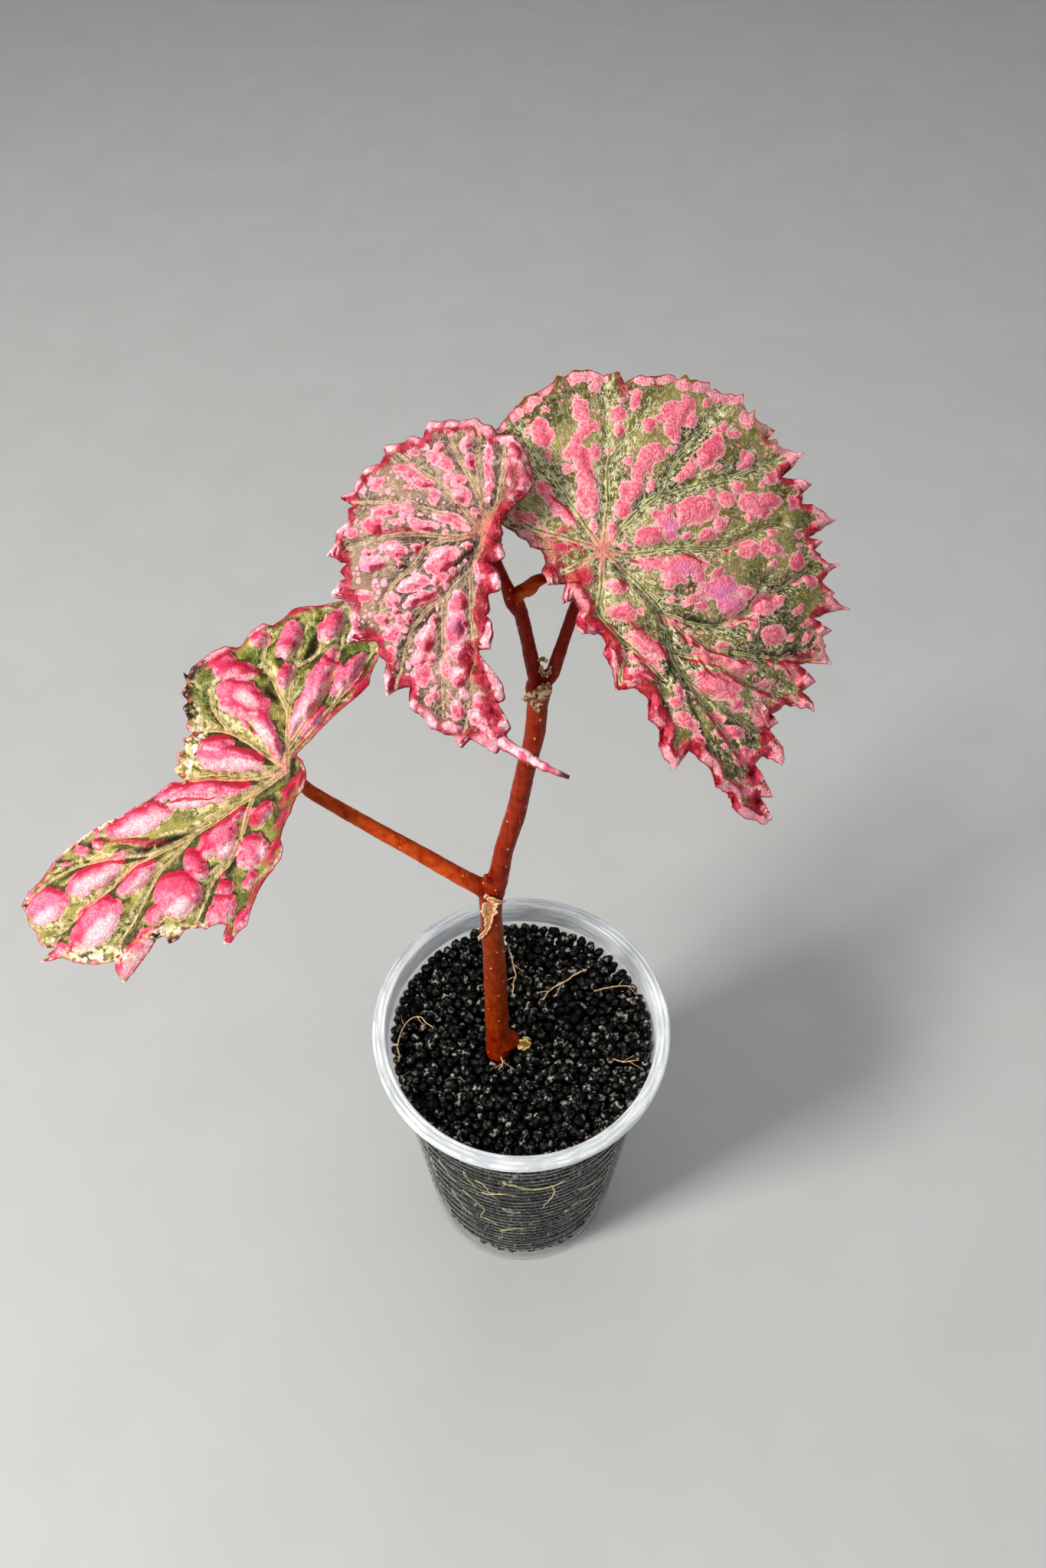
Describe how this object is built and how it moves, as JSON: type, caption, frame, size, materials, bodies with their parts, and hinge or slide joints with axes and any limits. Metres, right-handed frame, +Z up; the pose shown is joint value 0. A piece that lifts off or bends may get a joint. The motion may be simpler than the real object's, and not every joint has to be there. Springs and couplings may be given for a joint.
{
  "type": "potted begonia",
  "caption": "Young cane begonia with pink-blotched leaves on red stalks, rooted in dark granules in a clear ribbed plastic cup; stands on its flat base.",
  "frame": {"origin": "centre of the cup's flat base, on the surface it stands on", "axes": "+Z up, -Y towards the side that the leaf tips hang to, +X towards the largest leaf"},
  "size_m": [0.1544, 0.0764, 0.2731],
  "materials": {
    "cup": "clear, slightly milky, glossy",
    "granules": "black, baked clay, slightly shiny",
    "stem": "smooth, waxy",
    "leaf_olive": "glossy, olive with rose blotches",
    "leaf_brown": "glossy, brown-green with raised pink blotches",
    "leaf_yellow": "glossy, yellow-green with long pink puffs",
    "scale": "dry, papery",
    "root": "fine, dry"
  },
  "bodies": {
    "root": {"cup": "cup", "soil": "granules", "stem": "stem", "growing_tip": "stem", "leaf_right": "leaf_olive", "leaf_centre": "leaf_brown", "leaf_left": "leaf_yellow", "stipule_low": "scale", "stipule_fork": "scale", "stipule_axil": "scale", "basal_scale": "scale", "root_1": "root", "root_2": "root", "root_3": "root", "root_4": "root", "root_5": "root"}
  },
  "joints": []
}
